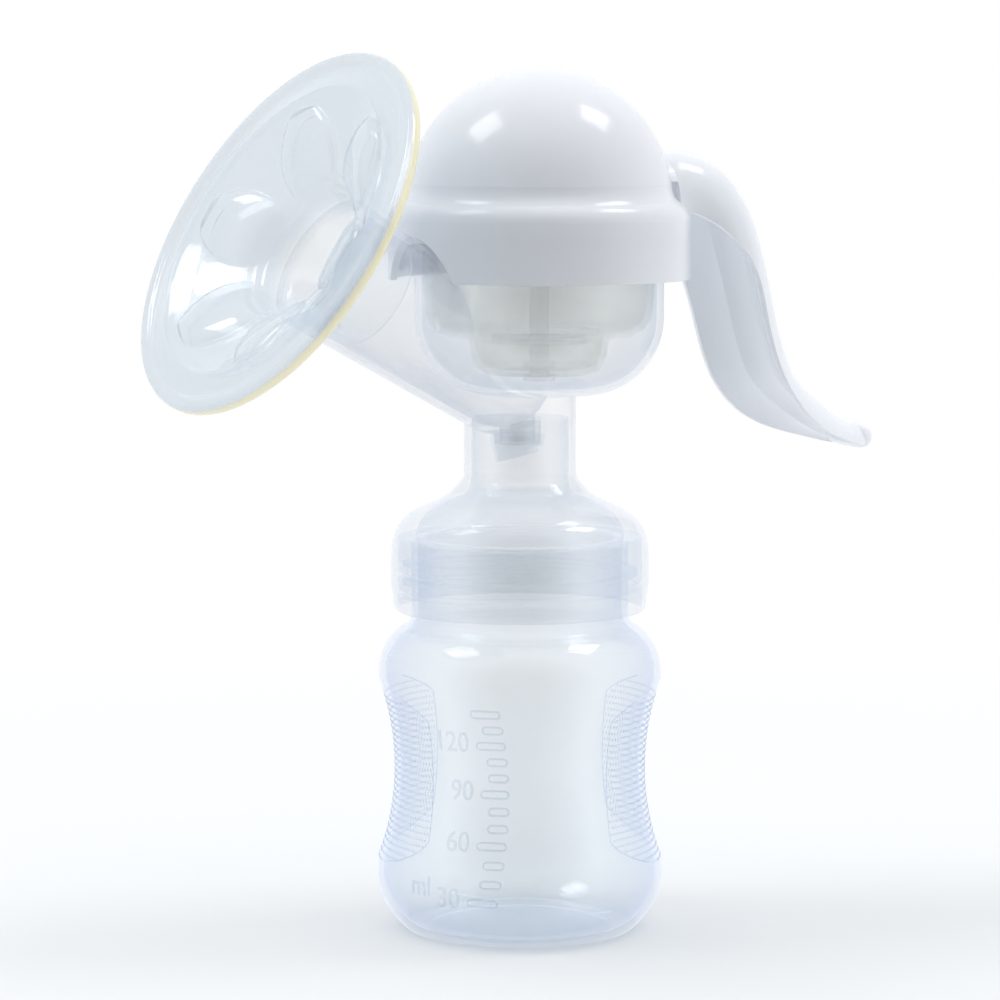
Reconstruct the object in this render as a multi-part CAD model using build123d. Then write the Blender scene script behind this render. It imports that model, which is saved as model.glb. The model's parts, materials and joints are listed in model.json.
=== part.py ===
from build123d import *
from math import cos, pi, radians, sin, tan
import os

os.makedirs("parts", exist_ok=True)

# Frame: origin at the centre of the bottle's base, +Z up, the squeeze handle
# towards +X and the breast funnel towards -X. Everything is symmetric about
# Y = 0 except the threads.

# bottle
BASE_RING_IN = 21.3
BASE_RING_OUT = 26.2
BASE_PUSH_UP = 2.4
HEEL_R = 33.1
HEEL_Z = 12.0
WAIST_R = 30.5
WAIST_Z = 37.0
SHOULDER_R = 32.6
SHOULDER_Z = 59.7
NECK_R = 25.0
NECK_Z = 72.7
LIP_Z = 89.7
BOTTLE_WALL = 1.5
BOTTLE_YAW = -34.0
GRIP_AXIS = 4.7
GRIP_WAIST_R = 33.6
GRIP_LOW = (37.9, 15.3)
GRIP_HIGH = (38.6, 61.5)

# screw thread between the bottle and the collar
THREAD_PITCH = 4.3
THREAD_TURNS = 1.5
BOTTLE_THREAD_R = 27.0
COLLAR_THREAD_R = 26.6
THREAD_LOW_Z = 76.8
THREAD_W = 1.6
THREAD_START = 50.0

# sealing ring
SEAL_T = 1.1
SEAL_GAP = 0.05

# collar and neck of the pump body
WALL = 1.7
COLLAR_R = 29.8
COLLAR_BORE_R = 28.1
COLLAR_LOW_Z = 74.0
CEILING_Z = LIP_Z + SEAL_T + 2 * SEAL_GAP
STEM_R = 12.9
STEM_LOW_Z = 106.1

# pump bowl, which the diaphragm hangs in
BOWL_X = 5.3
BOWL_R = 28.7
BOWL_FLOOR_Z = 123.4
BOWL_CORNER = 17.6
FLANGE_R = 32.8
FLANGE_LOW_Z = 152.6
FLANGE_TOP_Z = 157.2
FLANGE_CHAMFER = 2.3

# funnel tube, inclined from the bowl up to the breast cushion
TILT = 30.0
FUNNEL_X = -65.5
FUNNEL_Z = 162.7
TUBE_END_DEPTH = 15.2
TUBE_LENGTH = 69.2
TUBE_END_R = 15.9
TUBE_TAPER = 2.5

# drip duct and its valve
DUCT_X = -0.7
DUCT_R = 5.4
DUCT_BORE_R = 4.1
DUCT_LOW_Z = 112.4
VALVE_R = 6.4

# dome cap
SKIRT_R = 34.7
SKIRT_LOW_Z = 150.0
SKIRT_TOP_Z = 163.7
DOME_R = 30.6
DOME_Z = 167.4
CAP_WALL = 1.6
CUT_OUT_GAP = 0.7
SLOT_LOW_Z = 160.7
SLOT_GAP = 0.7
ROOT_X = 31.0
ROOT_Z = 167.3
ROOT_R = 10.9
FLUTE_RIDGE = 1.0

# handle and its pivot
PIVOT_X = 33.3
PIVOT_Z = 164.7
PIN_R = 2.0
PIN_HALF = 13.5
HUB_R = 3.8
HUB_HALF = 10.9
LUG_IN = 11.4
LUG_OUT = 13.8
ARM_DROP = 10.0
ARM_LENGTH = (PIVOT_X - BOWL_X) / cos(radians(ARM_DROP))
FORK_GAP = 3.0
FORK_OUT = 6.8
BAR_DROP = 1.1
NOSE_R = 1.85
HANDLE_WALL = 2.2
TIP_X = 96.4
TIP_Z = 109.9
TIP_R = 5.7
TIP_T = 5.4
TIP_SLOPE = 16.0

# pull stem and diaphragm
ROD_R = 2.2
HEAD_R = 5.0
HEAD_T = 2.8
PLATE_R = 11.0
PLATE_Z = 135.2
PLATE_T = 1.5
BUTTON_R = 3.7
RIM_T = 1.5
CUP_FLOOR_Z = 128.1
CUP_STEP_Z = 138.0
CUP_R = 16.3
SILICONE = 1.4
FIT = 0.05


def fill(*edges):
    """Face in the XZ plane from edges that run round it."""
    return Face(Wire(edges))


def line(*points):
    """Straight edges through (radius, height) points."""
    return [Edge.make_line((a, 0, b), (c, 0, d)) for (a, b), (c, d) in zip(points, points[1:])]


def arc(start, middle, end):
    """Arc through three (radius, height) points."""
    return Edge.make_three_point_arc(
        (start[0], 0, start[1]), (middle[0], 0, middle[1]), (end[0], 0, end[1])
    )


def smooth(*points, tangents=None):
    """Curve through (radius, height) points."""
    ends = None
    if tangents:
        ends = [(t[0], 0, t[1]) for t in tangents]
    return Edge.make_spline([(r, 0, z) for r, z in points], tangents=ends)


def spin(*edges):
    """Solid of revolution about Z of an outline in the XZ plane."""
    return Solid.revolve(fill(*edges), 360, Axis.Z)


def cylinder(radius, low, high, x=0.0):
    """Upright cylinder between two heights."""
    return Pos(x, 0, (low + high) / 2) * Cylinder(radius, high - low)


def cross_cylinder(radius, half, x, z):
    """Cylinder along Y, centred on Y = 0."""
    return Pos(x, 0, z) * Rot(90, 0, 0) * Cylinder(radius, 2 * half)


def block(x0, x1, half, z0, z1, y=0.0):
    """Box between two X and two Z values, with a half width in Y."""
    return Pos((x0 + x1) / 2, y, (z0 + z1) / 2) * Box(x1 - x0, 2 * half, z1 - z0)


def along_tube(shape):
    """Moves a shape modelled on +Z, rim plane at Z = 0, onto the funnel's axis."""
    return Pos(FUNNEL_X, 0, FUNNEL_Z) * Rot(0, -(90 - TILT), 0) * shape


def thread_ridge(root, crest, low):
    """Right-hand thread ridge with its root buried in the wall behind it."""
    path = Helix(THREAD_PITCH, THREAD_PITCH * THREAD_TURNS, root, center=(0, 0, low))
    outward = 1 if crest > root else -1
    half_root = THREAD_W / 2
    half_crest = THREAD_W / 4
    back = root - outward * 0.4
    corners = [
        (back, 0, low - half_root),
        (root, 0, low - half_root),
        (crest, 0, low - half_crest),
        (crest, 0, low + half_crest),
        (root, 0, low + half_root),
        (back, 0, low + half_root),
    ]
    section = Face(Wire.make_polygon(corners, close=True))
    return Rot(0, 0, THREAD_START) * sweep(section, path=path, is_frenet=True)


# ---------------------------------------------------------------- bottle


def bottle_outside(inset):
    """Round bottle, its side grips and its neck, shrunk by an inset."""
    floor = inset * 1.1
    heel = (HEEL_R - inset, HEEL_Z)
    waist = (WAIST_R - inset, WAIST_Z)
    shoulder = (SHOULDER_R - inset, SHOULDER_Z)
    neck = (NECK_R - inset, NECK_Z)
    under = BASE_PUSH_UP + floor
    top = LIP_Z if inset == 0 else LIP_Z + 1.0
    body = spin(
        *line((0, top), (0, under)),
        arc((0, under), (13.0, under - 0.6), (BASE_RING_IN, floor)),
        *line((BASE_RING_IN, floor), (BASE_RING_OUT - inset / 2, floor)),
        arc((BASE_RING_OUT - inset / 2, floor), (30.8 - inset, 5.2 + inset / 3), heel),
        smooth(heel, waist, shoulder, tangents=((0, 1), (0, 1))),
        arc(shoulder, (30.9 - inset, 66.0 - inset / 3), (27.3 - inset, 69.9 - inset / 2)),
        arc((27.3 - inset, 69.9 - inset / 2), (25.8 - inset, 70.9), neck),
        *line(neck, (NECK_R - inset, top), (0, top)),
    )
    for side in (-1, 1):
        body = body & grip_limit(side, inset)
    return body


def grip_limit(side, inset):
    """Barrel that flattens one side of the bottle for the fingers."""
    low = (GRIP_LOW[0] - inset, GRIP_LOW[1])
    high = (GRIP_HIGH[0] - inset, GRIP_HIGH[1])
    barrel = spin(
        *line((0, -4.6), (55.5, -4.6), (55.5, 0), low),
        arc(low, (GRIP_WAIST_R - inset, WAIST_Z), high),
        *line(high, (55.5, 76.8), (55.5, 101.8), (0, 101.8), (0, -4.6)),
    )
    return Pos(side * GRIP_AXIS, 0, 0) * barrel


def make_bottle():
    shell = bottle_outside(0) - bottle_outside(BOTTLE_WALL)
    shell = Rot(0, 0, BOTTLE_YAW) * shell
    return shell + thread_ridge(NECK_R, BOTTLE_THREAD_R, THREAD_LOW_Z + THREAD_PITCH / 2 + 0.37)


def make_sealing_ring():
    low = LIP_Z + SEAL_GAP
    ring = cylinder(26.5, low, low + SEAL_T) - cylinder(21.8, low - 1.0, low + SEAL_T + 1.0)
    return ring


# ------------------------------------------------------------- pump body


def collar_outside():
    """Screw collar, shoulder and neck, as one turned shape."""
    return spin(
        *line((0, 129.5), (0, COLLAR_LOW_Z), (28.3, COLLAR_LOW_Z)),
        smooth((28.3, COLLAR_LOW_Z), (29.1, 75.5), (COLLAR_R, 83.2), tangents=((1, 0.2), (0, 1))),
        smooth(
            (COLLAR_R, 83.2), (29.4, 89.7), (27.4, 94.4), (24.4, 96.8), (16.0, 101.2), (13.6, 103.8),
            (STEM_R, STEM_LOW_Z + 1.0), tangents=((0, 1), (0, 1)),
        ),
        *line((STEM_R, STEM_LOW_Z + 1.0), (STEM_R, 129.5), (0, 129.5)),
    )


def collar_hollow():
    """Space for the bottle's neck, opening into the bore of the pump's neck."""
    bore = STEM_R - WALL
    return spin(
        *line((0, 118.4), (0, COLLAR_LOW_Z - 1.0), (COLLAR_BORE_R, COLLAR_LOW_Z - 1.0)),
        *line((COLLAR_BORE_R, COLLAR_LOW_Z - 1.0), (COLLAR_BORE_R, CEILING_Z), (23.9, CEILING_Z)),
        smooth((23.9, CEILING_Z), (22.2, 95.5), (15.3, 99.6), (bore, 104.7), tangents=((0, 1), (0, 1))),
        *line((bore, 104.7), (bore, 118.4), (0, 118.4)),
    )


def bowl_outside():
    """Bowl with the flange that the dome cap covers."""
    corner = BOWL_CORNER
    turn = corner * (1 - cos(pi / 4))
    low_mid = (BOWL_R - turn, BOWL_FLOOR_Z + turn)
    shape = spin(
        *line((0, FLANGE_TOP_Z), (0, BOWL_FLOOR_Z), (BOWL_R - corner, BOWL_FLOOR_Z)),
        arc((BOWL_R - corner, BOWL_FLOOR_Z), low_mid, (BOWL_R, BOWL_FLOOR_Z + corner)),
        *line((BOWL_R, BOWL_FLOOR_Z + corner), (BOWL_R, FLANGE_LOW_Z - FLANGE_CHAMFER)),
        *line((BOWL_R, FLANGE_LOW_Z - FLANGE_CHAMFER), (FLANGE_R, FLANGE_LOW_Z)),
        *line((FLANGE_R, FLANGE_LOW_Z), (FLANGE_R, FLANGE_TOP_Z), (0, FLANGE_TOP_Z)),
    )
    return Pos(BOWL_X, 0, 0) * shape


def bowl_hollow():
    """Inside of the bowl."""
    radius = BOWL_R - WALL
    corner = BOWL_CORNER - WALL
    floor = BOWL_FLOOR_Z + WALL
    turn = corner * (1 - cos(pi / 4))
    shape = spin(
        *line((0, FLANGE_TOP_Z + 1.0), (0, floor), (radius - corner, floor)),
        arc((radius - corner, floor), (radius - turn, floor + turn), (radius, floor + corner)),
        *line((radius, floor + corner), (radius, FLANGE_TOP_Z + 1.0), (0, FLANGE_TOP_Z + 1.0)),
    )
    return Pos(BOWL_X, 0, 0) * shape


def tube_shape(inset, start):
    """Tapered tube closed by a round low end, from a depth below the rim plane."""
    end_r = TUBE_END_R - inset
    low_r = TUBE_END_R - (TUBE_LENGTH - TUBE_END_DEPTH) * tan(radians(TUBE_TAPER)) - inset
    cone = Pos(0, 0, -(start + TUBE_LENGTH) / 2) * Cone(low_r, end_r, TUBE_LENGTH - start)
    ball = Pos(0, 0, -TUBE_LENGTH) * Sphere(low_r)
    return along_tube(cone + ball)


def make_pump_body():
    under_cap = cylinder(SKIRT_R - CAP_WALL, FLANGE_TOP_Z, FLANGE_TOP_Z + 18.5, BOWL_X)
    tube = tube_shape(0, TUBE_END_DEPTH) - under_cap
    bowl = bowl_outside()
    duct = cylinder(DUCT_R, DUCT_LOW_Z, 122.1, DUCT_X)
    body = collar_outside() - collar_hollow() + bowl + tube + duct
    bore = tube_shape(WALL, TUBE_END_DEPTH - 1.8)
    drip = cylinder(DUCT_BORE_R, DUCT_LOW_Z - 1.0, 124.0, DUCT_X)
    body = body - ((bore + drip) - bowl)
    body = body - bowl_hollow()
    air_hole = Pos(-19.4, 0, 140.6) * Rot(0, 90, 0) * Cylinder(2.2, 9.2)
    body = body - air_hole
    return body + thread_ridge(COLLAR_BORE_R, COLLAR_THREAD_R, THREAD_LOW_Z)


def make_duckbill_valve():
    """Sleeve pushed over the drip duct, ending in a slanted slit lip."""
    low = 108.2
    sleeve = cylinder(VALVE_R, low, 114.5, DUCT_X)
    slope = Pos(DUCT_X, 0, low + 0.6) * Rot(0, 9, 0) * Pos(0, 0, -4.6) * Box(28, 28, 9.2)
    sleeve = sleeve - slope
    sleeve = sleeve - cylinder(DUCT_R + FIT, DUCT_LOW_Z - FIT, 129.5, DUCT_X)
    hollow = cylinder(DUCT_BORE_R, low + 1.8, DUCT_LOW_Z + 1.0, DUCT_X)
    slit = Pos(DUCT_X, 0, low) * Box(6.5, 0.3, 7.4)
    return sleeve - hollow - slit


# -------------------------------------------------------- breast cushion


def make_breast_cushion():
    """Silicone funnel liner: rim band, shallow cone and a tunnel into the tube."""
    shape = spin(
        smooth((11.6, -16.2), (13.1, -13.3), (23.1, -8.0), (31.6, -3.9), tangents=((0, 1), (1, 0.6))),
        smooth((31.6, -3.9), (33.2, -2.2), (35.3, -0.2), (44.0, 0), tangents=((1, 0.6), (1, 0))),
        arc((44.0, 0), (45.0, -1.55), (44.0, -3.1)),
        smooth((44.0, -3.1), (36.4, -3.3), (33.5, -5.2), (24.1, -10.1), (16.3, -14.2)),
        smooth((16.3, -14.2), (14.2, -15.0), (13.3, -16.7), tangents=((-1, -0.55), (0, -1))),
        *line((13.3, -16.7), (12.8, -30.5), (11.1, -30.5), (11.6, -16.2)),
    )
    return along_tube(shape)


# -------------------------------------------------------------- dome cap


def cap_outside(inset):
    """Skirt, shoulder and dome of the cap, shrunk by an inset."""
    radius = DOME_R - inset
    join_z = 171.7
    join_r = (radius**2 - (join_z - DOME_Z) ** 2) ** 0.5
    low = SKIRT_LOW_Z if inset == 0 else SKIRT_LOW_Z - 1.0
    skirt = SKIRT_R - inset
    shape = spin(
        *line((0, low), (skirt, low), (skirt, SKIRT_TOP_Z - inset)),
        arc(
            (skirt, SKIRT_TOP_Z - inset), (skirt - 1.0, SKIRT_TOP_Z + 2.5 - inset),
            (skirt - 2.7, SKIRT_TOP_Z + 3.9 - inset),
        ),
        arc((skirt - 2.7, SKIRT_TOP_Z + 3.9 - inset), (join_r + 0.55, 169.1 - inset / 2), (join_r, join_z)),
        arc((join_r, join_z), (radius * cos(pi / 4), DOME_Z + radius * sin(pi / 4)), (0, DOME_Z + radius)),
        *line((0, DOME_Z + radius), (0, low)),
    )
    return Pos(BOWL_X, 0, 0) * shape


def clamp_rib():
    """Ledge inside the cap that holds the diaphragm's rim down."""
    low = FLANGE_TOP_Z + RIM_T + FIT
    ring = cylinder(SKIRT_R - 0.5, low, low + 1.6, BOWL_X)
    return ring - cylinder(30.0, low - 1.0, low + 2.8, BOWL_X)


def root_arch(gap, x_from, x_to, z_from):
    """Upper part of a round bar along X that the handle's root follows."""
    length = x_to - x_from
    bar = Pos((x_from + x_to) / 2, 0, ROOT_Z) * Rot(0, 90, 0) * Cylinder(ROOT_R + gap, length)
    return bar & block(x_from, x_to, ROOT_R + gap, z_from, ROOT_Z + ROOT_R + gap)


def slot_shape():
    """Arched opening in the cap for the root of the handle."""
    slot = block(27.8, 55.5, ROOT_R + SLOT_GAP, SLOT_LOW_Z, ROOT_Z)
    slot = fillet(slot.edges().filter_by(Axis.X).sort_by(Axis.Z)[:2], 3.7)
    return slot + root_arch(SLOT_GAP, 27.8, 55.5, ROOT_Z)


def make_dome_cap():
    cap = cap_outside(0) - cap_outside(CAP_WALL) + clamp_rib()
    lugs = block(28.2, 37.9, (LUG_OUT - LUG_IN) / 2, 160.2, 170.2, (LUG_OUT + LUG_IN) / 2)
    lugs += block(28.2, 37.9, (LUG_OUT - LUG_IN) / 2, 160.2, 170.2, -(LUG_OUT + LUG_IN) / 2)
    cap = cap + (lugs & cap_outside(0.3))
    cap = cap - tube_shape(-CUT_OUT_GAP, TUBE_END_DEPTH)
    slot = slot_shape()
    inner = block(28.1, 37.6, LUG_IN, 160.6, 170.4)
    cap = cap - (slot - lugs) - inner
    return cap - cross_cylinder(PIN_R + 0.01, 18.5, PIVOT_X, PIVOT_Z)


# ---------------------------------------------------------------- handle

# Stations down the handle: rim point, crown point and half width.
STATIONS = [
    ((37.5, 166.0), (37.5, 178.2), 10.8),
    ((43.0, 164.1), (44.9, 178.8), 11.3),
    ((48.1, 161.0), (53.8, 175.2), 13.5),
    ((53.4, 155.4), (60.7, 166.5), 15.5),
    ((57.0, 148.9), (64.9, 155.5), 15.9),
    ((59.7, 140.7), (68.4, 143.8), 15.3),
    ((62.5, 131.5), (71.4, 133.5), 15.2),
    ((67.5, 121.9), (75.7, 125.3), 15.4),
    ((74.6, 115.0), (81.1, 121.1), 14.8),
    ((82.9, 111.0), (87.2, 116.9), 12.6),
    ((91.0, 108.7), (93.6, 114.0), 9.1),
    ((97.0, 107.5), (98.2, 112.4), 5.6),
]


def channel_section(rim, crown, half):
    """Channel across the handle: convex outside, three shallow flutes inside."""
    depth = ((crown[0] - rim[0]) ** 2 + (crown[1] - rim[1]) ** 2) ** 0.5
    ux = (crown[0] - rim[0]) / depth
    uz = (crown[1] - rim[1]) / depth

    def at(y, height):
        return (rim[0] + ux * height, y, rim[1] + uz * height)

    floor = (depth - HANDLE_WALL) * min(1, half / 14)
    lip = min(1.2, half * 0.15)
    crease = 0.42 * half
    crease_h = floor * (1 - 0.42**2) - FLUTE_RIDGE * min(1, half / 14)
    side = 0.75 * half
    side_h = floor * (1 - (side / (half - lip)) ** 2)
    edges = [
        Edge.make_three_point_arc(at(-half, 0), at(0, depth), at(half, 0)),
        Edge.make_line(at(half, 0), at(half - lip, -0.1)),
        Edge.make_three_point_arc(at(half - lip, -0.1), at(side, side_h), at(crease, crease_h)),
        Edge.make_three_point_arc(at(crease, crease_h), at(0, floor), at(-crease, crease_h)),
        Edge.make_three_point_arc(at(-crease, crease_h), at(-side, side_h), at(-half + lip, -0.1)),
        Edge.make_line(at(-half + lip, -0.1), at(-half, 0)),
    ]
    return Face(Wire(edges))


def make_handle():
    leaf = loft([channel_section(*station) for station in STATIONS])
    tip = Cylinder(TIP_R, TIP_T)
    tip = fillet(tip.edges().filter_by(GeomType.CIRCLE), TIP_T / 2 - 0.1)
    tip = Pos(TIP_X, 0, TIP_Z) * Rot(0, TIP_SLOPE, 0) * tip
    knuckle = block(33.3, 39.8, 8.7, 163.4, 174.0) + root_arch(0, ROOT_X, 39.8, 172.0)
    hub = cross_cylinder(HUB_R, HUB_HALF, PIVOT_X, PIVOT_Z)
    handle = leaf + tip + knuckle + hub + fork()
    return handle - cross_cylinder(PIN_R + FIT, 18.5, PIVOT_X, PIVOT_Z)


def fork():
    """Two arms that reach under the head of the pull stem, hung below the noses."""
    nose_x = PIVOT_X - ARM_LENGTH * cos(radians(ARM_DROP))
    nose_z = PIVOT_Z - ARM_LENGTH * sin(radians(ARM_DROP))
    bar = Pos(-ARM_LENGTH / 2, 0, -BAR_DROP) * Box(ARM_LENGTH, 2 * FORK_OUT, 2 * NOSE_R)
    bar = Pos(PIVOT_X, 0, PIVOT_Z) * Rot(0, -ARM_DROP, 0) * bar
    nose = cross_cylinder(NOSE_R, FORK_OUT, nose_x, nose_z)
    gap = block(nose_x - 10, nose_x + 7, FORK_GAP, nose_z - 10, nose_z + 10)
    return bar + nose - gap


def make_pivot_pin():
    return cross_cylinder(PIN_R, PIN_HALF, PIVOT_X, PIVOT_Z)


# ------------------------------------------------- diaphragm and pull stem


def make_diaphragm():
    """Silicone cup with a clamped rim, a step and a small cup for the foot."""
    t = SILICONE
    rim_z = FLANGE_TOP_Z
    low = CUP_FLOOR_Z
    step = CUP_STEP_Z
    wall = BOWL_R - WALL - 0.3
    cup = CUP_R
    shape = spin(
        *line((wall, rim_z), (32.0, rim_z), (32.0, rim_z + RIM_T), (wall - t, rim_z + RIM_T)),
        *line((wall - t, rim_z + RIM_T), (wall - 0.5 - t, step + 2.8)),
        arc((wall - 0.5 - t, step + 2.8), (wall - 1.4 - t, step + 0.8), (wall - 3.3 - t, step)),
        *line((wall - 3.3 - t, step), (cup - t, step), (cup - 0.8 - t, low + 3.7)),
        arc((cup - 0.8 - t, low + 3.7), (cup - 1.6 - t, low + t + 0.8), (cup - 3.4 - t, low + t)),
        *line((cup - 3.4 - t, low + t), (ROD_R + FIT, low + t), (ROD_R + FIT, low), (cup - 4.0, low)),
        arc((cup - 4.0, low), (cup - 1.6, low + 1.1), (cup - 0.65, low + 3.7)),
        *line((cup - 0.65, low + 3.7), (cup, step - t), (wall - 4.1, step - t)),
        arc((wall - 4.1, step - t), (wall - 1.3, step - 0.5), (wall - 0.5, step + 2.2)),
        *line((wall - 0.5, step + 2.2), (wall, rim_z)),
    )
    return Pos(BOWL_X, 0, 0) * shape


def make_pull_stem():
    """Rod with a head for the fork, a round plate, and a collar and button on the silicone."""
    nose_z = PIVOT_Z - ARM_LENGTH * sin(radians(ARM_DROP))
    head_z = nose_z + NOSE_R + FIT
    above = CUP_FLOOR_Z + SILICONE + FIT
    below = CUP_FLOOR_Z - FIT
    rod = cylinder(ROD_R, below - 1.0, head_z + 1.0, BOWL_X)
    head = cylinder(HEAD_R, head_z, head_z + HEAD_T, BOWL_X)
    head = fillet(head.edges().group_by(Axis.Z)[-1], 1.1)
    plate = cylinder(PLATE_R, PLATE_Z, PLATE_Z + PLATE_T, BOWL_X)
    collar = cylinder(BUTTON_R, above, above + PLATE_T, BOWL_X)
    button = cylinder(BUTTON_R, below - PLATE_T, below, BOWL_X)
    return rod + head + plate + collar + button


PARTS = {
    "bottle": make_bottle,
    "sealing_ring": make_sealing_ring,
    "pump_body": make_pump_body,
    "duckbill_valve": make_duckbill_valve,
    "breast_cushion": make_breast_cushion,
    "dome_cap": make_dome_cap,
    "handle": make_handle,
    "pivot_pin": make_pivot_pin,
    "diaphragm": make_diaphragm,
    "pull_stem": make_pull_stem,
}

for name, make in PARTS.items():
    export_step(make(), f"parts/{name}.step")
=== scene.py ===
import json
from math import atan2, cos, pi, radians, sin, sqrt, tau

import bmesh
import bpy
from mathutils import Matrix, Vector
from mathutils.bvhtree import BVHTree


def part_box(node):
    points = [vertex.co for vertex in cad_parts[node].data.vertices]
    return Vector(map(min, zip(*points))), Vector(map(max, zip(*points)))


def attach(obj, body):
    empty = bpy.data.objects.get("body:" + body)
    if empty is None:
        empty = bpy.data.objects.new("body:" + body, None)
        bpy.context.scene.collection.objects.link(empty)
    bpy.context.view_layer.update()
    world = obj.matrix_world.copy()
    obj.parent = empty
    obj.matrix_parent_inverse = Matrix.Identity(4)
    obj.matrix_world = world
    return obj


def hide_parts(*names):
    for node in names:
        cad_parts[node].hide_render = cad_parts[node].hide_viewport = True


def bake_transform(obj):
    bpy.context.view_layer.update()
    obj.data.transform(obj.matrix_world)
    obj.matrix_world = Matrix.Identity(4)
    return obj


# A manual breast pump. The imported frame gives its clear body, bottle, cap and
# handle. The silicone pieces are modelled here, in the place of their plain
# solids, and so is the fine relief of the bottle. Lengths are in metres; MM
# turns the object's millimetre sizes into them.

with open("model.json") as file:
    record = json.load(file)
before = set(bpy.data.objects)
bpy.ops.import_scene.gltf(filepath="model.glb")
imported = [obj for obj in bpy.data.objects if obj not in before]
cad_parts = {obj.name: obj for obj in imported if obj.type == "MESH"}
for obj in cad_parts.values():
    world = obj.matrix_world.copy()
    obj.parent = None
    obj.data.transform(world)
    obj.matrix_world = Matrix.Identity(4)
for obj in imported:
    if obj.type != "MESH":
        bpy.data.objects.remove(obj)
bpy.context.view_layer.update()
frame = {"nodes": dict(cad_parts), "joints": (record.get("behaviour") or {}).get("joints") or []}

MM = 0.001
UP = Vector((0, 0, 1))

# camera
CAMERA_AZIMUTH = radians(-34.0)
CAMERA_DISTANCE = 0.91575
CAMERA_HEIGHT = 0.19397
CAMERA_PITCH = radians(5.909)
CAMERA_TURN = radians(0.2865)
LENS = 144.0

# studio
FLOOR_FADE_FROM = 0.10
FLOOR_FADE_TO = 0.45
DARK_SIDE_FROM = 0.42
DARK_SIDE_TO = 0.95
ROOM_STRENGTH = 1.22

# breast cushion
PETALS = 6
PETAL_START = radians(-6.0)
PETAL_R = 24.2
PETAL_HALF_WIDTH = 9.0
PETAL_HALF_LENGTH = 10.2
PETAL_RISE = 2.7
PETAL_SHARP_IN = 0.5
PETAL_SHARP_OUT = 1.2
RIB_RADII = (15.2, 16.9, 18.6)
RIB_RISE = 0.32
RIB_HALF = 0.30
CONE_SLOPE = 0.42
CONE_DEPTH = 5.6

# turns of the spun silicone pieces
CUSHION_TURNS = 540
DIAPHRAGM_TURNS = 160
VALVE_TURNS = 96
SEAL_TURNS = 120

# bottle relief
BOTTLE_FRONT = radians(-34.0)
BOTTLE_ROUND_R = 31.0
RAY_START_R = 100.0
MARK_FIRST_Z = 11.3
MARK_STEPS = (4.3,) * 3 + (3.85,) * 3 + (3.7,) * 3 + (3.6,) * 2
MARK_MIDDLE_Z = 34.0
MARK_RIGHT = -2.5
MARK_BOW = 0.0045
MARK_LONG = 6.5
MARK_SHORT = 4.5
MARK_HALF = 0.82
MARK_RIDGE = 0.22
CAPSULE_STEPS = 8
NUMERAL_HEIGHT = 4.9
NUMERAL_GAP = 1.6
NUMERAL_NARROW = 0.88
NUMERAL_LIFT = 0.08
UNIT_LEFT = 7.2
UNIT_UP = 2.6
GRIP_ROW_STEP = 1.44
GRIP_DOT_STEP = 1.05
GRIP_LOW_Z = 14.0
GRIP_HIGH_Z = 56.0
GRIP_HALF_WIDTH = 27.0
GRIP_DEPTH = 0.12
GRIP_EDGE_DEPTH = 0.08
GRIP_EDGE_STEPS = 60
GRIP_EDGE_SEARCH = 0.3
DOT_SIDES = 8


# ------------------------------------------------------------- materials


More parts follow.
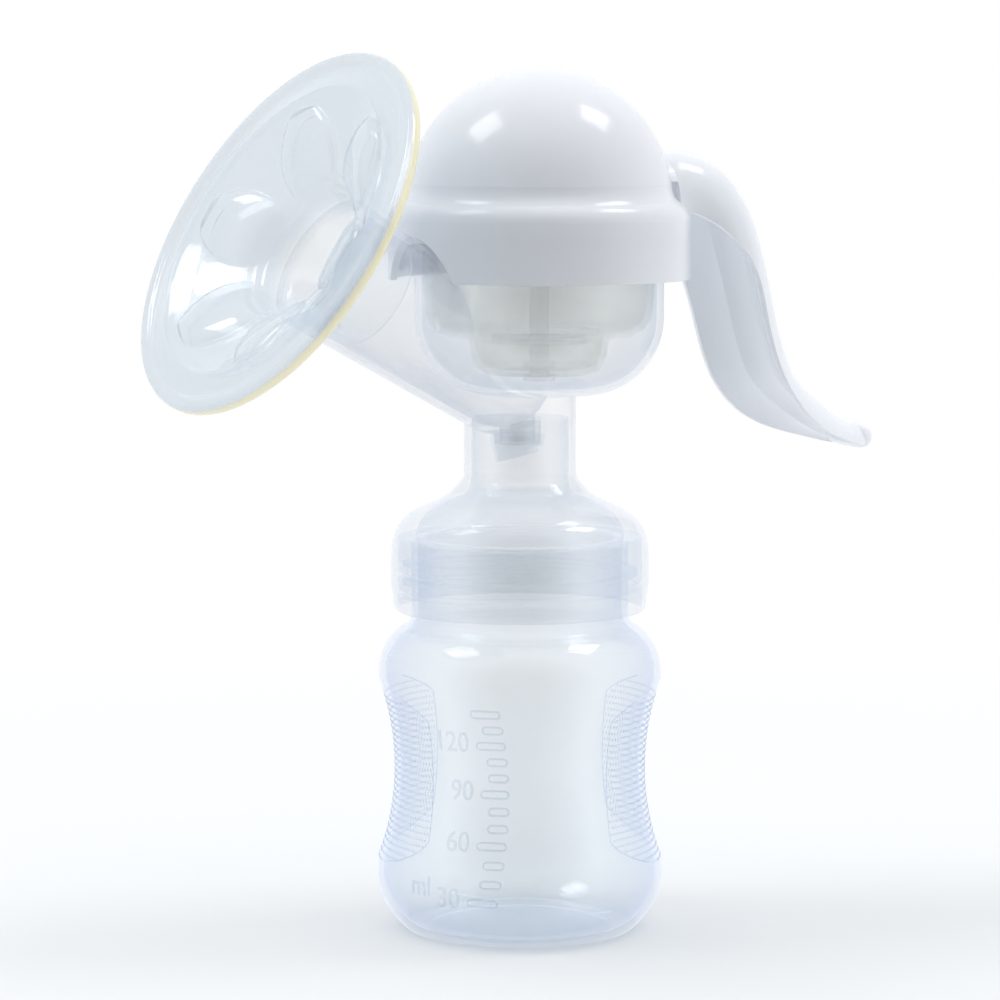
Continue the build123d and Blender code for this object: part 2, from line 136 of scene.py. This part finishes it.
class Graph:
    """Short way to add and link the nodes of a material or a world."""

    def __init__(self, owner):
        self.owner = owner
        owner.use_nodes = True
        self.tree = owner.node_tree
        self.tree.nodes.clear()

    def add(self, kind, inputs=None, **settings):
        node = self.tree.nodes.new(kind)
        for key, value in settings.items():
            setattr(node, key, value)
        for key, value in (inputs or {}).items():
            if isinstance(value, bpy.types.NodeSocket):
                self.tree.links.new(value, node.inputs[key])
            else:
                node.inputs[key].default_value = value
        return node

    def math(self, operation, a, b):
        return self.add("ShaderNodeMath", {0: a, 1: b}, operation=operation).outputs[0]

    def spread(self, value, low, high, out_low, out_high):
        """Maps low..high onto out_low..out_high, clamped."""
        inputs = {
            "Value": value,
            "From Min": low,
            "From Max": high,
            "To Min": out_low,
            "To Max": out_high,
        }
        return self.add("ShaderNodeMapRange", inputs).outputs[0]

    def edge(self, power):
        """0 where the surface faces the view and 1 where it turns away."""
        facing = self.add("ShaderNodeLayerWeight", {"Blend": 0.5}).outputs["Facing"]
        return self.math("POWER", facing, power)

    def tint(self, factor, a, b):
        """Blend of two colours; either may be a socket."""
        node = self.add("ShaderNodeMix", data_type="RGBA")
        self.tree.links.new(factor, node.inputs[0])
        for socket, colour in ((node.inputs[6], a), (node.inputs[7], b)):
            if isinstance(colour, bpy.types.NodeSocket):
                self.tree.links.new(colour, socket)
            else:
                socket.default_value = (*colour, 1)
        return node.outputs[2]

    def mix(self, factor, a, b):
        inputs = {0: factor, 1: a.outputs[0], 2: b.outputs[0]}
        return self.add("ShaderNodeMixShader", inputs)

    def noise(self, size_mm, detail, stretch=(1, 1, 1)):
        """Value of a noise whose features are about size_mm across."""
        place = self.add("ShaderNodeTexCoord").outputs["Object"]
        place = self.add("ShaderNodeMapping", {"Vector": place, "Scale": stretch}).outputs[0]
        inputs = {"Vector": place, "Scale": 1 / (size_mm * MM), "Detail": detail}
        return self.add("ShaderNodeTexNoise", inputs).outputs[0]

    def bump(self, height, distance_mm):
        inputs = {"Height": height, "Distance": distance_mm * MM, "Strength": 1.0}
        return self.add("ShaderNodeBump", inputs).outputs[0]

    def matte(self, colour, roughness, normal):
        """Base of a hazy material, with no shine of its own."""
        inputs = {
            "Base Color": colour,
            "Roughness": roughness,
            "Normal": normal,
            "Specular IOR Level": 0.0,
        }
        return self.add("ShaderNodeBsdfPrincipled", inputs)

    def shiny(self, base, normal, roughness, low, high):
        """Reflection over a base, from a low share face on to a high one at grazing angles."""
        share = self.spread(self.edge(5.0), 0.0, 1.0, low, high)
        inputs = {"Color": (1, 1, 1, 1), "Roughness": roughness, "Normal": normal}
        return self.mix(share, base, self.add("ShaderNodeBsdfGlossy", inputs))

    def done(self, shader, output="ShaderNodeOutputMaterial"):
        self.tree.links.new(shader.outputs[0], self.add(output).inputs["Surface"])
        return self.owner


def see_through(name, tint, painted_edge_shade, haze, edge_haze, milk):
    """Clear or milky plastic: light goes straight through, and the darker tint at turned-away
    walls is painted shade for the darker room seen through them.
    """
    g = Graph(bpy.data.materials.new(name))
    edge = g.edge(2.0)
    flow = g.noise(8.0, 3.0, (1, 1, 0.45))
    normal = g.bump(flow, 0.05)
    # painted shade: the see-through tint darkens towards turned-away walls in place of refraction
    # of darker surroundings
    clear = g.add("ShaderNodeBsdfTransparent", {"Color": g.tint(edge, tint, painted_edge_shade)})
    cloud = g.spread(flow, 0.3, 0.7, 0.94, 1.06)
    amount = g.math("MULTIPLY", g.spread(edge, 0.0, 1.0, haze, edge_haze), cloud)
    base = g.mix(amount, clear, g.matte((*milk, 1), 0.55, normal))
    return g.done(g.shiny(base, normal, 0.035, 0.04, 0.5))


def white_plastic(name, colour, roughness, coat, glow):
    """Moulded plastic with slightly uneven gloss; glow is the share of light it lets through."""
    g = Graph(bpy.data.materials.new(name))
    cloud = g.noise(14.0, 3.0)
    grain = g.noise(0.5, 2.0)
    darker = tuple(c * 0.985 for c in colour)
    shade = g.tint(g.spread(cloud, 0.35, 0.65, 0.0, 1.0), colour, darker)
    inputs = {
        "Base Color": shade,
        "Roughness": g.spread(cloud, 0.3, 0.7, roughness * 0.9, roughness * 1.15),
        "Normal": g.bump(grain, 0.004),
        "IOR": 1.5,
        "Coat Weight": coat,
        "Coat Roughness": 0.08,
    }
    solid = g.add("ShaderNodeBsdfPrincipled", inputs)
    through = g.add("ShaderNodeBsdfTranslucent", {"Color": (*colour, 1)})
    return g.done(g.mix(glow, solid, through))


def silicone(name, tint, painted_edge_shade, haze, edge_haze, milk, lip=None):
    """Milky silicone, its tint darkened towards turned-away walls as painted shade. Where the mesh
    marks a lip, it shows the colour of its thick edge.
    """
    g = Graph(bpy.data.materials.new(name))
    edge = g.edge(1.6)
    normal = g.bump(g.noise(6.0, 3.0), 0.04)
    # painted shade: the see-through tint darkens towards turned-away walls
    through = g.tint(edge, tint, painted_edge_shade)
    colour = (*milk, 1)
    amount = g.spread(edge, 0.0, 1.0, haze, edge_haze)
    if lip:
        mark = g.add("ShaderNodeAttribute", attribute_name="sleeve").outputs["Fac"]
        through = g.tint(mark, through, (0.985, 0.988, 0.99))
        amount = g.math("MULTIPLY", amount, g.spread(mark, 0.0, 1.0, 1.0, 0.2))
        mark = g.add("ShaderNodeAttribute", attribute_name="lip").outputs["Fac"]
        inner_side = g.add("ShaderNodeNewGeometry").outputs["Backfacing"]
        mark = g.math("MULTIPLY", mark, g.spread(inner_side, 0.0, 1.0, 1.0, 0.15))
        colour = g.tint(mark, milk, lip)
        amount = g.math("MAXIMUM", amount, g.math("MULTIPLY", mark, 0.75))
    clear = g.add("ShaderNodeBsdfTransparent", {"Color": through})
    soft = g.add("ShaderNodeBsdfTranslucent", {"Color": colour, "Normal": normal})
    base = g.mix(amount, clear, g.mix(0.35, g.matte(colour, 0.5, normal), soft))
    return g.done(g.shiny(base, normal, 0.09, 0.045, 0.8))


def make_materials():
    """Every material by its short name, with tints as linear red, green and blue. In the
    see-through and silicone ones, the second tint is painted shade for turned-away walls.
    """
    bottle_milk = (0.84, 0.90, 0.98)
    return {
        "clear_pp": see_through(
            "clear_pp", (0.962, 0.975, 0.984), (0.87, 0.90, 0.97), 0.02, 0.12, bottle_milk,
        ),
        # painted shade: the relief's much darker edge tint draws shaded outlines round the marks
        # and numerals
        "relief": see_through(
            "relief_pp", (0.95, 0.963, 0.975), (0.74, 0.79, 0.88), 0.03, 0.20, bottle_milk,
        ),
        "dots": see_through(
            "dots_pp", (0.91, 0.932, 0.968), (0.80, 0.85, 0.93), 0.02, 0.10, bottle_milk,
        ),
        "body_pp": see_through(
            "body_pp", (0.975, 0.982, 0.99), (0.91, 0.93, 0.965), 0.05, 0.20,
            (0.90, 0.94, 0.99),
        ),
        "white_pp": white_plastic("white_pp", (0.905, 0.922, 0.95), 0.17, 0.25, 0.3),
        "pin_plastic": white_plastic("pin_plastic", (0.82, 0.83, 0.83), 0.35, 0.0, 0.0),
        "stem_pp": see_through(
            "stem_pp", (0.985, 0.985, 0.98), (0.93, 0.93, 0.925), 0.05, 0.15,
            (0.95, 0.95, 0.93),
        ),
        "cushion": silicone(
            "cushion_silicone", (0.875, 0.905, 0.935), (0.78, 0.83, 0.86), 0.14, 0.34,
            (0.85, 0.89, 0.93), lip=(1.0, 0.89, 0.52),
        ),
        "diaphragm": silicone(
            "diaphragm_silicone", (0.982, 0.982, 0.972), (0.945, 0.945, 0.925), 0.09, 0.20,
            (0.98, 0.98, 0.96),
        ),
        "thin_silicone": silicone(
            "thin_silicone", (0.985, 0.988, 0.992), (0.94, 0.955, 0.97), 0.03, 0.08,
            (0.90, 0.94, 0.97),
        ),
    }


# ---------------------------------------------------------------- meshes


def catmull_rom(p, q, r, s, t):
    """Value at t, from 0 to 1, on the stretch from q to r."""
    square = (2 * p - 5 * q + 4 * r - s) * t**2
    cube = (3 * q - p - 3 * r + s) * t**3
    return 0.5 * (2 * q + (r - p) * t + square + cube)


def smooth_path(points, step):
    """Curve through (radius, height) points, sampled about every step."""
    ends = [points[0], *points, points[-1]]
    found = []
    for a, b, c, d in zip(ends, ends[1:], ends[2:], ends[3:]):
        count = max(1, round(sqrt((c[0] - b[0]) ** 2 + (c[1] - b[1]) ** 2) / step))
        for i in range(count):
            t = i / count
            found.append(tuple(catmull_rom(p, q, r, s, t) for p, q, r, s in zip(a, b, c, d)))
    found.append(points[-1])
    return found


def lathe(name, profile, turns, place, shape=None):
    """Closed ring mesh: a closed profile in millimetres, spun round Z and put in its place."""
    verts = []
    for i in range(turns):
        for radius, height in profile:
            r, a, h = radius, tau * i / turns, height
            if shape:
                r, a, h = shape(r, a, h)
            verts.append(place @ (Vector((r * cos(a), r * sin(a), h)) * MM))
    count = len(profile)
    faces = []
    for i in range(turns):
        j = (i + 1) % turns
        for k in range(count):
            m = (k + 1) % count
            faces.append((i * count + k, j * count + k, j * count + m, i * count + m))
    return make_mesh(name, verts, faces)


def make_mesh(name, verts, faces):
    """Smooth object with its faces turned outwards."""
    mesh = bpy.data.meshes.new(name)
    mesh.from_pydata([tuple(v) for v in verts], [], faces)
    work = bmesh.new()
    work.from_mesh(mesh)
    bmesh.ops.recalc_face_normals(work, faces=work.faces)
    work.to_mesh(mesh)
    work.free()
    mesh.shade_smooth()
    piece = bpy.data.objects.new(name, mesh)
    bpy.context.scene.collection.objects.link(piece)
    return piece


def ridge(path, closed, half, rise, verts, faces):
    """Adds a low ridge along a path of (point, normal) pairs to a mesh in the making."""
    start = len(verts)
    count = len(path)
    for i, (point, normal) in enumerate(path):
        before = path[i - 1][0] if i or closed else point
        after = path[(i + 1) % count][0] if i + 1 < count or closed else point
        side = (after - before).cross(normal).normalized()
        for across, height in ((1, -0.15), (0.45, 1), (-0.45, 1), (-1, -0.15)):
            verts.append(point + side * (across * half) + normal * (height * rise))
    for i in range(count if closed else count - 1):
        j = (i + 1) % count
        for k in range(4):
            m = (k + 1) % 4
            corners = (i * 4 + k, j * 4 + k, j * 4 + m, i * 4 + m)
            faces.append(tuple(start + n for n in corners))
    if not closed:
        faces.append(tuple(start + k for k in range(4)))
        faces.append(tuple(start + (count - 1) * 4 + k for k in (3, 2, 1, 0)))


# ------------------------------------------------------- silicone pieces


def funnel_place():
    """Matrix from the cushion's own frame, rim plane at Z = 0, to the object's frame."""
    pull = next(j for j in frame["joints"] if j["name"] == "cushion_pull_off")
    axis = Vector(pull["axis"]).normalized()
    side = Vector((0, 1, 0))
    up = axis.cross(side)
    node = frame["nodes"]["breast_cushion"].data
    depth = max(v.co.dot(axis) for v in node.vertices)
    heights = [v.co.dot(up) for v in node.vertices]
    centre = axis * depth + up * ((min(heights) + max(heights)) / 2)
    place = Matrix((side, up, axis)).transposed().to_4x4()
    place.translation = centre
    return place


def petal_rise(radius, angle, sharpness):
    """Height of the massage petals, and of the ribs between them, over the cone."""
    turn = (angle - PETAL_START) % (tau / PETALS)
    turn = min(turn, tau / PETALS - turn)
    across = radius * turn / PETAL_HALF_WIDTH
    along = (radius - PETAL_R) / PETAL_HALF_LENGTH
    reach = across**2 + along**2
    if reach < 1:
        return PETAL_RISE * (1 - reach) ** sharpness
    if reach < 1.6 and turn > radians(12):
        return max(RIB_RISE * max(0, 1 - ((radius - r) / RIB_HALF) ** 2) for r in RIB_RADII)
    return 0.0


def share_of(value, start, reach):
    """How far value has got on its way from start, from 0 to 1 at reach."""
    return min(1.0, max(0.0, (value - start) / reach))


def make_breast_cushion(materials):
    """Cushion from its sleeve out to its rolled lip, with the massage petals on the cone."""
    front = smooth_path([
        (11.1, -30.5), (11.5, -18.0), (12.1, -15.4), (13.7, -12.9), (18.6, -8.6), (24.2, -5.6),
        (29.6, -3.3), (30.9, -2.8), (33.4, -1.55), (35.3, -0.55), (36.0, 0.0), (36.8, -0.25),
        (39.6, -0.75), (41.2, -0.7), (42.1, -0.1), (43.2, 0.0),
    ], 0.42)
    lip_angles = [radians(10 + 16 * i) for i in range(11)]
    lip = [(43.8 + 1.2 * sin(a), -1.8 + 1.8 * cos(a)) for a in lip_angles]
    back = smooth_path([
        (43.0, -3.6), (40.0, -2.5), (36.6, -2.3), (33.9, -3.7), (31.2, -5.0), (24.6, -7.8),
        (17.8, -11.7), (14.6, -15.4), (13.2, -18.5), (12.8, -30.5),
    ], 0.6)
    profile = front + lip + back

    def with_petals(radius, angle, depth):
        cone_depth = (radius - PETAL_R) * CONE_SLOPE - CONE_DEPTH
        on_front = depth > cone_depth - 1.1
        on_cone = 12.5 < radius < 33.0 and depth > -15.5
        if on_cone:
            depth += petal_rise(radius, angle, PETAL_SHARP_IN if on_front else PETAL_SHARP_OUT)
        return radius, angle, depth

    piece = lathe("breast_cushion_soft", profile, CUSHION_TURNS, funnel_place(), with_petals)
    lip_shares = [share_of(r, 42.6, 0.8) * share_of(-depth, 0.5, 0.9) for r, depth in profile]
    sleeve_shares = [share_of(-depth, 13.0, 3.0) for r, depth in profile]
    for name, shares in (("lip", lip_shares), ("sleeve", sleeve_shares)):
        mark = piece.data.attributes.new(name, "FLOAT", "POINT")
        mark.data.foreach_set("value", shares * CUSHION_TURNS)
    piece.data.materials.append(materials["cushion"])
    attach(piece, "cushion")
    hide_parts("breast_cushion")


def make_diaphragm(materials):
    """Cup held by its rim at the cap and pulled up by the stem at its floor."""
    low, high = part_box("diaphragm")
    centre = (low + high) / 2
    rim_r = (high.x - low.x) / 2 / MM
    floor = low.z / MM
    rim = high.z / MM
    outside = smooth_path([
        (26.7, rim - 1.5), (26.5, rim - 9), (26.1, rim - 16.5), (24.6, rim - 20.0),
    ], 0.8)
    outside += smooth_path([
        (22.0, rim - 21.7), (17.6, rim - 21.9), (16.3, rim - 22.7), (15.6, floor + 4.0),
        (14.2, floor + 1.2), (11.8, floor),
    ], 0.6)
    outside += [(8.0, floor), (2.3, floor)]
    inside = [(2.3, floor + 1.4), (8.0, floor + 1.4)]
    inside += smooth_path([
        (11.6, floor + 1.4), (13.2, floor + 2.3), (14.2, floor + 4.6), (15.0, rim - 22.0),
        (16.4, rim - 20.6), (21.6, rim - 20.4), (23.6, rim - 18.8),
    ], 0.6)
    inside += smooth_path([
        (24.7, rim - 15.8), (25.1, rim - 9), (25.3, rim - 1.2), (25.8, rim),
    ], 0.8)
    rim_edge = [
        (rim_r - 0.3, rim), (rim_r, rim - 0.3), (rim_r, rim - 1.2), (rim_r - 0.3, rim - 1.5),
    ]
    profile = outside + inside + rim_edge
    place = Matrix.Translation((centre.x, centre.y, 0))
    piece = lathe("diaphragm_soft", profile, DIAPHRAGM_TURNS, place)
    piece.data.materials.append(materials["diaphragm"])
    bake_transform(piece)
    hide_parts("diaphragm")


def make_valve(materials):
    """Duckbill: a round sleeve that flattens into two lips with a slanted end."""
    low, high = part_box("duckbill_valve")
    centre = (low + high) / 2
    outer = (high.x - low.x) / 2 / MM
    top = high.z / MM
    bottom = low.z / MM
    bill = bottom + 3.9
    sleeve = outer - 0.15
    profile = [(outer - 0.2, top), (outer, top - 0.2), (outer, top - 1.2), (sleeve, top - 1.4)]
    profile += [(sleeve, bill + (top - 1.4 - bill) * i / 6) for i in range(5, -1, -1)]
    profile += [(sleeve - 0.3 * i / 8, bill - (bill - bottom) * i / 8) for i in range(1, 9)]
    profile += [
        (outer - 1.1 + 0.2 * i / 8, bottom + (bill - 0.2 - bottom) * i / 8) for i in range(9)
    ]
    profile += [(outer - 0.92, bill + (top - bill) * i / 6) for i in range(1, 7)]

    def bill_shape(radius, angle, height):
        x = radius * cos(angle)
        y = radius * sin(angle)
        share = share_of(-height, -bill, bill - bottom)
        thin = 0.13 if radius > outer - 0.8 else 0.02
        y *= 1 - (1 - thin) * share**0.8
        height += (x + outer) * 0.16 * share
        return sqrt(x * x + y * y), atan2(y, x), height

    place = Matrix.Translation((centre.x, centre.y, 0))
    piece = lathe("valve_soft", profile, VALVE_TURNS, place, bill_shape)
    piece.data.materials.append(materials["thin_silicone"])
    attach(piece, "valve")
    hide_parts("duckbill_valve")


def make_sealing_ring(materials):
    """Ring with rounded inner and outer sides."""
    low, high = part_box("sealing_ring")
    centre = (low + high) / 2
    outer = (high.x - low.x) / 2 / MM
    verts = frame["nodes"]["sealing_ring"].data.vertices
    inner = min(sqrt(v.co.x**2 + v.co.y**2) for v in verts) / MM
    half = (high.z - low.z) / 2 / MM
    middle = centre.z / MM
    angles = [radians(90 - 30 * i) for i in range(7)]
    profile = [(outer - half + half * cos(a), middle + half * sin(a)) for a in angles]
    profile += [(inner + half - half * cos(a), middle - half * sin(a)) for a in angles]
    place = Matrix.Translation((centre.x, centre.y, 0))
    piece = lathe("sealing_ring_soft", profile, SEAL_TURNS, place)
    piece.data.materials.append(materials["thin_silicone"])
    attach(piece, "seal")
    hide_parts("sealing_ring")


# ---------------------------------------------------------- bottle relief


def bottle_surface():
    """Finds points on the outside of the bottle by casting rays at it."""
    node = frame["nodes"]["bottle"].data
    tree = BVHTree.FromPolygons([v.co for v in node.vertices], [p.vertices for p in node.polygons])

    def at(around_mm, height_mm, front=BOTTLE_FRONT):
        """Point and outward normal, at a distance round the bottle from its front."""
        angle = front + around_mm / BOTTLE_ROUND_R
        out = Vector((sin(angle), -cos(angle), 0))
        start = out * (RAY_START_R * MM) + UP * (height_mm * MM)
        point, normal, _, _ = tree.ray_cast(start, -out)
        return point, (normal if normal.dot(out) > 0 else -normal)

    return at


def capsule(length, half):
    """Outline of a bar with round ends, its right end at X = 0."""
    found = []
    for centre, start in ((-half, -pi / 2), (-length + half, pi / 2)):
        for i in range(CAPSULE_STEPS + 1):
            a = start + pi * i / CAPSULE_STEPS
            found.append((centre + half * cos(a), half * sin(a)))
    return found


def mark_heights():
    """Heights of the volume marks, from the lowest up."""
    return [MARK_FIRST_Z + sum(MARK_STEPS[:i]) for i in range(len(MARK_STEPS) + 1)]


def marks_end(z):
    """Right end of the mark at a height: the column bows to the left at both ends."""
    return MARK_RIGHT - MARK_BOW * (z - MARK_MIDDLE_Z) ** 2


def make_scale_marks(at, materials):
    """Outlined bars of the volume scale, long at every numeral and at the top."""
    verts = []
    faces = []
    heights = mark_heights()
    for i, z in enumerate(heights):
        length = MARK_SHORT if i % 3 and z < heights[-1] else MARK_LONG
        path = [at(marks_end(z) + x, z + y) for x, y in capsule(length, MARK_HALF)]
        ridge(path, True, MARK_RIDGE * MM, MARK_RIDGE * MM, verts, faces)
    piece = make_mesh("scale_marks", verts, faces)
    piece.data.shade_flat()
    dress_bottle(piece, materials["relief"])


def make_numerals(at, materials):
    """Raised numerals of the volume scale, and its unit, laid on the bottle."""
    left = MARK_LONG + NUMERAL_GAP
    labels = []
    for i, z in enumerate(mark_heights()[::3]):
        labels.append((str(30 * (i + 1)), marks_end(z) - left, z + 0.5))
    labels.append(("ml", marks_end(MARK_FIRST_Z) - left - UNIT_LEFT, MARK_FIRST_Z + UNIT_UP))
    for text, end, z in labels:
        curve = bpy.data.curves.new("numeral", "FONT")
        curve.body = text
        curve.size = NUMERAL_HEIGHT * 1.35
        curve.extrude = 0.1
        curve.align_x = "RIGHT"
        curve.align_y = "CENTER"
        curve.resolution_u = 4
        source = bpy.data.objects.new("numeral", curve)
        bpy.context.scene.collection.objects.link(source)
        bpy.context.view_layer.update()
        flat = source.evaluated_get(bpy.context.evaluated_depsgraph_get())
        mesh = bpy.data.meshes.new_from_object(flat)
        bpy.data.objects.remove(source)
        for vert in mesh.vertices:
            point, normal = at(end + vert.co.x * NUMERAL_NARROW, z + vert.co.y)
            vert.co = point + normal * ((vert.co.z + NUMERAL_LIFT) * MM)
        mesh.materials.clear()
        piece = bpy.data.objects.new("numeral_" + text, mesh)
        bpy.context.scene.collection.objects.link(piece)
        dress_bottle(piece, materials["relief"])


def make_grip_dots(at, materials):
    """Rows of small raised dashes on the bottle's two flattened sides, and their edge lines."""
    verts = []
    faces = []
    angles = [tau * i / DOT_SIDES for i in range(DOT_SIDES)]
    ring = [(0.20 * cos(a), 0.34 * sin(a)) for a in angles]
    rows = int((GRIP_HIGH_Z - GRIP_LOW_Z) / GRIP_ROW_STEP)
    columns = int(GRIP_HALF_WIDTH / GRIP_DOT_STEP)
    for side in (-1, 1):
        middle = BOTTLE_FRONT + side * pi / 2
        for row in range(rows):
            z = GRIP_LOW_Z + row * GRIP_ROW_STEP
            round_r = distance_out(at(0, z))
            for column in range(-columns, columns + 1):
                around = (column + (row % 2) / 2) * GRIP_DOT_STEP
                spot = at(around, z, middle)
                if round_r - distance_out(spot) > GRIP_DEPTH * MM:
                    dash(*spot, ring, verts, faces)
        for way in (-1, 1):
            ridge(grip_edge(at, middle, way), False, 0.16 * MM, 0.05 * MM, verts, faces)
    dress_bottle(make_mesh("grip_dots", verts, faces), materials["dots"])


def distance_out(spot):
    """Distance from the bottle's axis to a spot, a (point, normal) pair."""
    return Vector(spot[0][:2]).length


def grip_edge(at, middle, way):
    """Line where a finger grip's flat runs out into the round of the bottle."""
    path = []
    for i in range(GRIP_EDGE_STEPS):
        z = GRIP_LOW_Z + (GRIP_HIGH_Z - GRIP_LOW_Z) * i / (GRIP_EDGE_STEPS - 1)
        round_r = distance_out(at(0, z))
        reach = 0.0
        while reach < GRIP_HALF_WIDTH:
            if round_r - distance_out(at(way * reach, z, middle)) <= GRIP_EDGE_DEPTH * MM:
                break
            reach += GRIP_EDGE_SEARCH
        if reach > 1.0:
            path.append(at(way * reach, z, middle))
    return path


def dash(point, normal, ring, verts, faces):
    """Adds one small dome, taller than wide, to a mesh in the making."""
    side = UP.cross(normal).normalized()
    rise = normal.cross(side)
    start = len(verts)
    for scale, height in ((1.0, -0.05), (0.8, 0.09)):
        for x, y in ring:
            offset = side * (x * scale) + rise * (y * scale) + normal * height
            verts.append(point + offset * MM)
    verts.append(point + normal * (0.14 * MM))
    verts.append(point - normal * (0.05 * MM))
    upper = start + DOT_SIDES
    top = upper + DOT_SIDES
    for i in range(DOT_SIDES):
        j = (i + 1) % DOT_SIDES
        faces.append((start + i, start + j, upper + j, upper + i))
        faces.append((upper + i, upper + j, top))
        faces.append((start + j, start + i, top + 1))


def dress_bottle(piece, material):
    """Gives a relief piece its material and lets it ride with the bottle."""
    piece.data.materials.append(material)
    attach(piece, "bottle")


# ------------------------------------------------------------ the studio


def camera_back():
    """Horizontal direction from the object to the camera."""
    return Vector((sin(CAMERA_AZIMUTH), -cos(CAMERA_AZIMUTH), 0))


def make_camera():
    data = bpy.data.cameras.new("camera")
    data.lens = LENS
    data.sensor_width = 36.0
    camera = bpy.data.objects.new("camera", data)
    bpy.context.scene.collection.objects.link(camera)
    camera.location = camera_back() * CAMERA_DISTANCE + UP * CAMERA_HEIGHT
    camera.rotation_euler = (pi / 2 - CAMERA_PITCH, 0, CAMERA_AZIMUTH + CAMERA_TURN)
    bpy.context.scene.camera = camera


def make_softbox(name, direction, distance, size, power, shines=True):
    """Square light aimed at the object; one that doesn't shine leaves no reflection."""
    data = bpy.data.lights.new(name, "AREA")
    data.shape = "SQUARE"
    data.size = size
    data.energy = power
    light = bpy.data.objects.new(name, data)
    bpy.context.scene.collection.objects.link(light)
    target = Vector((0.01, 0, 0.16))
    light.location = target + Vector(direction).normalized() * distance
    light.rotation_mode = "QUATERNION"
    light.rotation_quaternion = (light.location - target).to_track_quat("Z", "Y")
    light.visible_camera = False
    light.visible_glossy = shines


def make_floor():
    """White floor that fades into the white background away from the object."""
    bpy.ops.mesh.primitive_plane_add(size=12)
    floor = bpy.context.object
    floor.name = "floor"
    g = Graph(bpy.data.materials.new("floor_white"))
    place = g.add("ShaderNodeTexCoord").outputs["Object"]
    reach = g.add("ShaderNodeVectorMath", {0: place}, operation="LENGTH").outputs["Value"]
    fade = g.spread(reach, FLOOR_FADE_FROM, FLOOR_FADE_TO, 0.0, 1.0)
    camera_ray = g.add("ShaderNodeLightPath").outputs["Is Camera Ray"]
    near = g.add("ShaderNodeBsdfDiffuse", {"Color": (0.74, 0.75, 0.755, 1)})
    far = g.add("ShaderNodeEmission", {"Color": (1, 1, 1, 1), "Strength": 1.0})
    floor.data.materials.append(g.done(g.mix(g.math("MULTIPLY", fade, camera_ray), near, far)))
    floor.visible_diffuse = False
    floor.visible_glossy = False


def make_world():
    """White room, bright all round the object but for the dark side the camera stands on."""
    g = Graph(bpy.data.worlds.new("studio"))
    direction = g.add("ShaderNodeTexCoord").outputs["Generated"]
    towards = (camera_back() + UP * 0.1).normalized()
    dot = g.add("ShaderNodeVectorMath", {0: direction, 1: towards}, operation="DOT_PRODUCT")
    strength = g.spread(dot.outputs["Value"], DARK_SIDE_FROM, DARK_SIDE_TO, ROOM_STRENGTH, 0.0)
    room = g.add("ShaderNodeBackground", {"Color": (0.97, 0.985, 1.0, 1), "Strength": strength})
    white = g.add("ShaderNodeBackground", {"Color": (1, 1, 1, 1), "Strength": 1.0})
    camera_ray = g.add("ShaderNodeLightPath").outputs["Is Camera Ray"]
    mixed = g.mix(camera_ray, room, white)
    bpy.context.scene.world = g.done(mixed, "ShaderNodeOutputWorld")


def set_look():
    """Plain colours, and enough bounces for light to get through every clear wall."""
    scene = bpy.context.scene
    scene.view_settings.view_transform = "Standard"
    scene.cycles.transparent_max_bounces = 64
    scene.cycles.max_bounces = 16
    scene.cycles.diffuse_bounces = 6
    scene.cycles.glossy_bounces = 6


# -------------------------------------------------------------- assembly

NODE_MATERIALS = {
    "bottle": "clear_pp",
    "pump_body": "body_pp",
    "dome_cap": "white_pp",
    "handle": "white_pp",
    "pivot_pin": "pin_plastic",
    "pull_stem": "stem_pp",
}


def dress_nodes(materials):
    for name, key in NODE_MATERIALS.items():
        node = frame["nodes"][name]
        node.data.materials.clear()
        node.data.materials.append(materials[key])


materials = make_materials()
dress_nodes(materials)
make_breast_cushion(materials)
make_diaphragm(materials)
make_valve(materials)
make_sealing_ring(materials)
surface_at = bottle_surface()
make_scale_marks(surface_at, materials)
make_numerals(surface_at, materials)
make_grip_dots(surface_at, materials)

make_world()
make_floor()
make_softbox("softbox_left", (-0.50, 0.28, 0.81), 1.2, 0.42, 3.2)
make_softbox("softbox_right", (0.52, -0.19, 0.83), 1.2, 0.36, 2.4)
make_softbox("fill_front", (-0.25, -0.95, 0.15), 1.6, 1.2, 4.2, False)
make_camera()
set_look()
